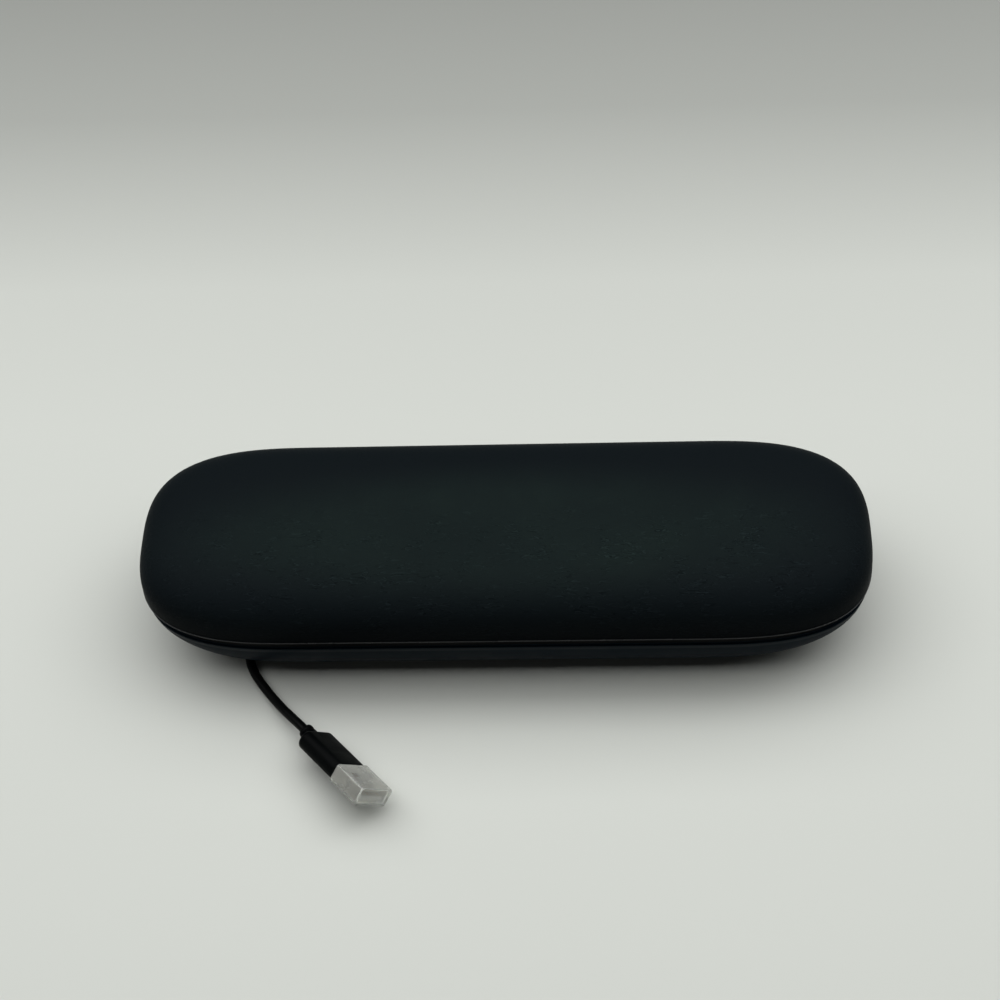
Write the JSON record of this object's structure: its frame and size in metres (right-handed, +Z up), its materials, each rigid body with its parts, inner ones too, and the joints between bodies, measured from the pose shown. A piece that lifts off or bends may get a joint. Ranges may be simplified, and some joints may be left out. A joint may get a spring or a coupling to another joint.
{
  "type": "toothbrush travel case",
  "caption": "Long rounded hard travel case with a leather-covered hinged lid, a fitted tray with charging cup, and a short USB cable whose plug has a pull-off cap.",
  "frame": {"origin": "middle of the rubber pad that the closed case rests on, in the plane it stands on", "axes": "+X along the case to the right, +Y from the opening front to the hinge, +Z up"},
  "size_m": [0.23, 0.1225, 0.0459],
  "materials": {
    "leather": "fine-grained coated leather, satin",
    "trim": "polished edge",
    "frame_plastic": "moulded, matte",
    "shell_plastic": "moulded, satin",
    "lid_core": "moulded, plain",
    "liner": "flocked",
    "foam": "closed-cell foam",
    "nickel": "nickel plated",
    "steel": "zinc plated",
    "tray_plastic": "moulded, fine texture",
    "grey_rubber": "soft rubber",
    "black_rubber": "soft rubber",
    "cup_plastic": "glossy",
    "copper": "enamelled copper wire",
    "bobbin_plastic": "natural",
    "ferrite": "sintered",
    "wire": "insulated wire",
    "board": "solder mask",
    "chips": "moulded",
    "cable": "satin jacket",
    "grip": "satin, over-moulded",
    "plug_metal": "nickel plated",
    "plug_insulator": "plain",
    "gold": "gold plated",
    "cap_plastic": "frosted, translucent"
  },
  "bodies": {
    "base": {"base_shell": "shell_plastic", "base_frame": "frame_plastic", "rim_seal": "black_rubber", "base_magnets": "nickel", "hinge_pin": "steel", "inner_tray": "tray_plastic", "handle_trough": "tray_plastic", "head_troughs": "tray_plastic", "handle_rests": "grey_rubber", "charging_cup": "cup_plastic", "charging_coil": "copper", "coil_bobbin": "bobbin_plastic", "coil_core": "ferrite", "coil_back": "cup_plastic", "coil_leads": "wire", "circuit_board": "board", "board_parts": "chips", "board_screws": "steel", "power_lead": "cable", "bottom_plate": "shell_plastic", "bottom_screws": "steel", "rest_pad": "black_rubber", "side_feet": "black_rubber", "cable_gland": "black_rubber", "stored_cable": "cable", "cable_tail": "cable", "plug_grip": "grip", "plug_shell": "plug_metal", "plug_tongue": "plug_insulator", "plug_contacts": "gold"},
    "lid": {"lid_cover": "leather", "lid_trim": "trim", "lid_shell": "lid_core", "lid_frame": "frame_plastic", "lid_liner": "liner", "lid_pads": "foam", "lid_magnets": "nickel"},
    "cap": {"plug_cap": "cap_plastic"}
  },
  "joints": [
    {"name": "lid_hinge", "type": "hinge", "parent": "base", "child": "lid", "pos_m": [0, 0.0362, 0.0252], "axis": [-1, 0, 0], "range_deg": [0, 110]},
    {"name": "cap_slide", "type": "slide", "parent": "base", "child": "cap", "axis": [0.6589, -0.7369, 0.1513], "range_m": [0, 0.02]}
  ]
}
